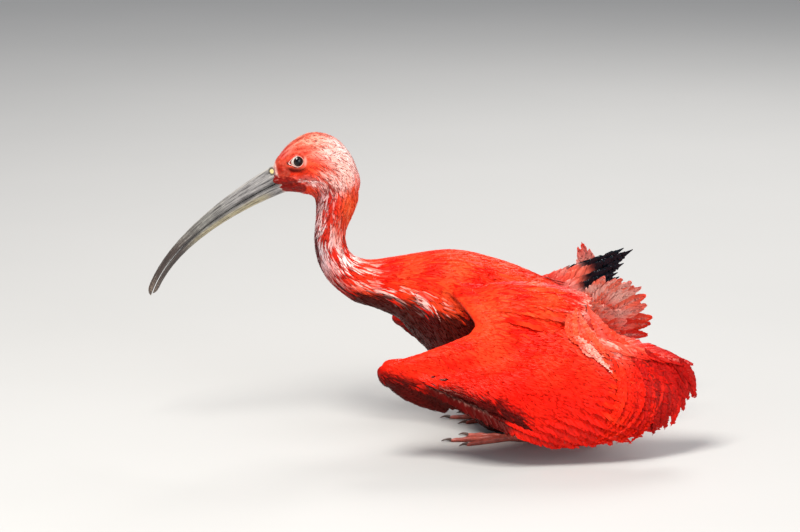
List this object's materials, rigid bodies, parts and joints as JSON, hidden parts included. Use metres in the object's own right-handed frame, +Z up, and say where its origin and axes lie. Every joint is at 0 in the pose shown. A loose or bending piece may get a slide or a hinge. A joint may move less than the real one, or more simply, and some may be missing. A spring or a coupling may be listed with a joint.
{
  "type": "scarlet ibis figure",
  "caption": "Life-size scarlet wading bird with a long down-curved bill, lying on its belly with both wings half open and its tail fanned, as a still museum figure.",
  "frame": {"origin": "on the floor, on the flat under the middle of the belly", "axes": "+Z up, the bird faces -X, its left side faces -Y"},
  "size_m": [0.4702, 0.2671, 0.2665],
  "materials": {
    "plumage": "wet scarlet feathers",
    "bill": "horn, satin",
    "eye": "gloss",
    "leg_skin": "scaled skin, satin"
  },
  "bodies": {
    "root": {"head": "plumage", "neck_upper": "plumage", "neck_lower": "plumage", "torso": "plumage", "tail": "plumage", "wing_left": "plumage", "wing_right": "plumage", "thigh_left": "plumage", "thigh_right": "plumage", "bill_upper": "bill", "bill_lower": "bill", "eye_left": "eye", "eye_right": "eye", "shank_left": "leg_skin", "shank_right": "leg_skin", "foot_left": "leg_skin", "foot_right": "leg_skin"}
  },
  "joints": []
}
